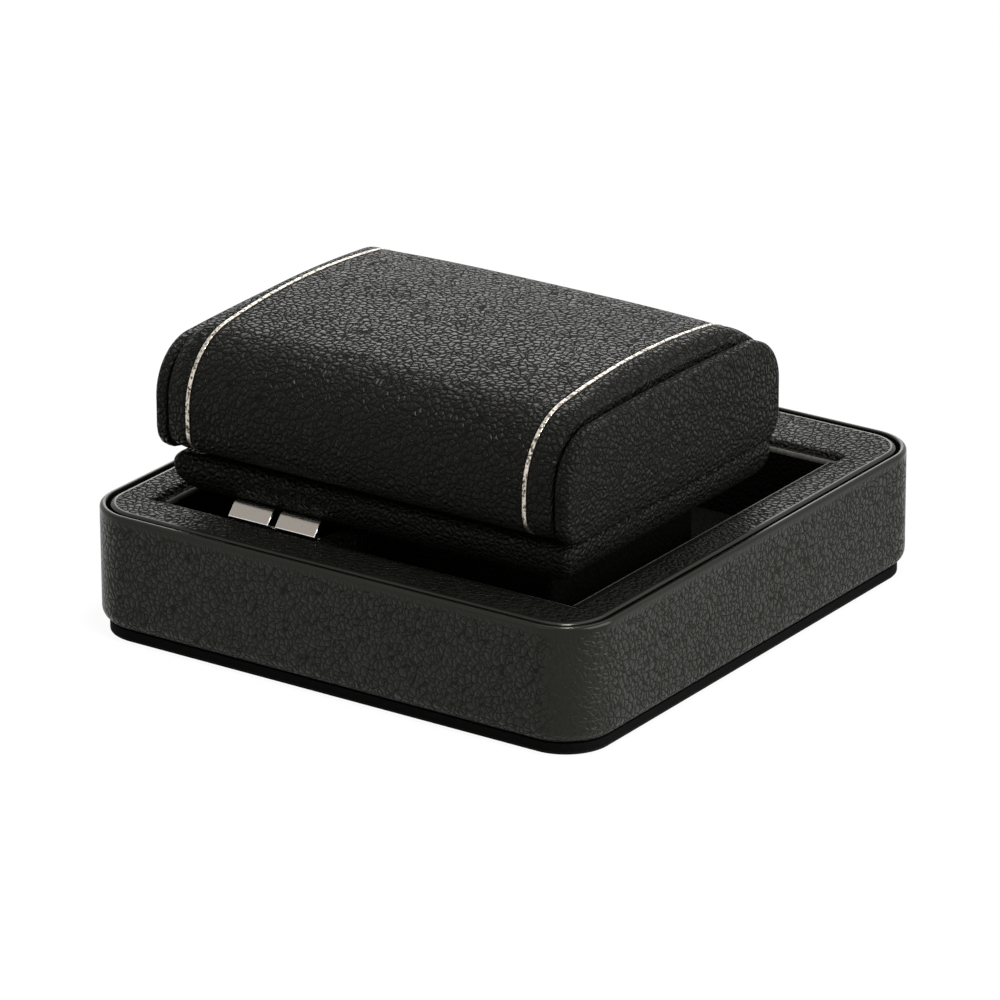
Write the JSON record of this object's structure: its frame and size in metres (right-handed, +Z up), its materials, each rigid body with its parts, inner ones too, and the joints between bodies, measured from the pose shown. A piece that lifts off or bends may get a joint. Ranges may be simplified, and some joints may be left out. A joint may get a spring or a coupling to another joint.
{
  "type": "watch stand",
  "caption": "Single watch stand: leather-wrapped square base with a lined well, padded pedestal, lift-off watch cushion and a pair of cufflinks in the front slot.",
  "frame": {"origin": "bottom centre of the base, on the surface that the stand rests on", "axes": "+Z up, -Y the front, +X to the right along the cushion"},
  "size_m": [0.12, 0.125, 0.0644],
  "materials": {
    "black_leather": "pebbled semi-gloss",
    "lining_leather": "fine-grained matte",
    "black_felt": "matte felt",
    "black_board": "matte black board",
    "fibreboard": "raw fibreboard",
    "foam": "soft foam",
    "steel": "zinc plated",
    "silver_stripe": "satin metallic",
    "polished_chrome": "polished"
  },
  "bodies": {
    "base": {"side_band": "black_leather", "rim_leather": "black_leather", "pad_leather": "black_leather", "well_floor_lining": "lining_leather", "well_lining_front_left": "lining_leather", "well_lining_front_right": "lining_leather", "well_lining_rear": "lining_leather", "well_lining_left": "lining_leather", "well_lining_right": "lining_leather", "divider_lining": "lining_leather", "neck_wrap": "lining_leather", "base_felt": "black_felt", "base_plate": "black_board", "carcass_front": "fibreboard", "carcass_rear": "fibreboard", "carcass_left": "fibreboard", "carcass_right": "fibreboard", "rim_board_front": "fibreboard", "rim_board_rear": "fibreboard", "rim_board_left": "fibreboard", "rim_board_right": "fibreboard", "rim_board_tongue": "fibreboard", "slot_divider": "fibreboard", "well_floor_board": "fibreboard", "neck_block": "fibreboard", "neck_dowels": "fibreboard", "pad_board": "fibreboard", "rim_padding": "foam", "pad_foam": "foam", "keeper_plates": "steel"},
    "cushion": {"cushion_core": "fibreboard", "cushion_foam": "foam", "cushion_panel": "black_leather", "cushion_board": "black_board", "cushion_magnets": "steel", "stripe_left": "silver_stripe", "stripe_right": "silver_stripe", "shoulder_left": "black_leather", "shoulder_right": "black_leather", "end_board_left": "black_board", "end_board_right": "black_board", "end_cap_left": "black_leather", "end_cap_right": "black_leather"},
    "cufflink_left": {"cufflink_face_left": "polished_chrome", "cufflink_bracket_left": "polished_chrome", "cufflink_pin_left": "polished_chrome"},
    "toggle_left": {"cufflink_toggle_left": "polished_chrome"},
    "cufflink_right": {"cufflink_face_right": "polished_chrome", "cufflink_bracket_right": "polished_chrome", "cufflink_pin_right": "polished_chrome"},
    "toggle_right": {"cufflink_toggle_right": "polished_chrome"}
  },
  "joints": [
    {"name": "cushion_lift", "type": "slide", "parent": "base", "child": "cushion", "axis": [0, 0, 1], "range_m": [0, 0.045]},
    {"name": "cufflink_left_pull", "type": "slide", "parent": "base", "child": "cufflink_left", "axis": [0, -0.7071, 0.7071], "range_m": [0, 0.018]},
    {"name": "toggle_left_turn", "type": "hinge", "parent": "cufflink_left", "child": "toggle_left", "pos_m": [-0.02765, -0.04347, 0.02349], "axis": [0, 0.7071, 0.7071], "range_deg": [0, 90]},
    {"name": "cufflink_right_pull", "type": "slide", "parent": "base", "child": "cufflink_right", "axis": [0, -0.7071, 0.7071], "range_m": [0, 0.018]},
    {"name": "toggle_right_turn", "type": "hinge", "parent": "cufflink_right", "child": "toggle_right", "pos_m": [-0.01635, -0.04347, 0.02349], "axis": [0, 0.7071, 0.7071], "range_deg": [0, 90]}
  ]
}
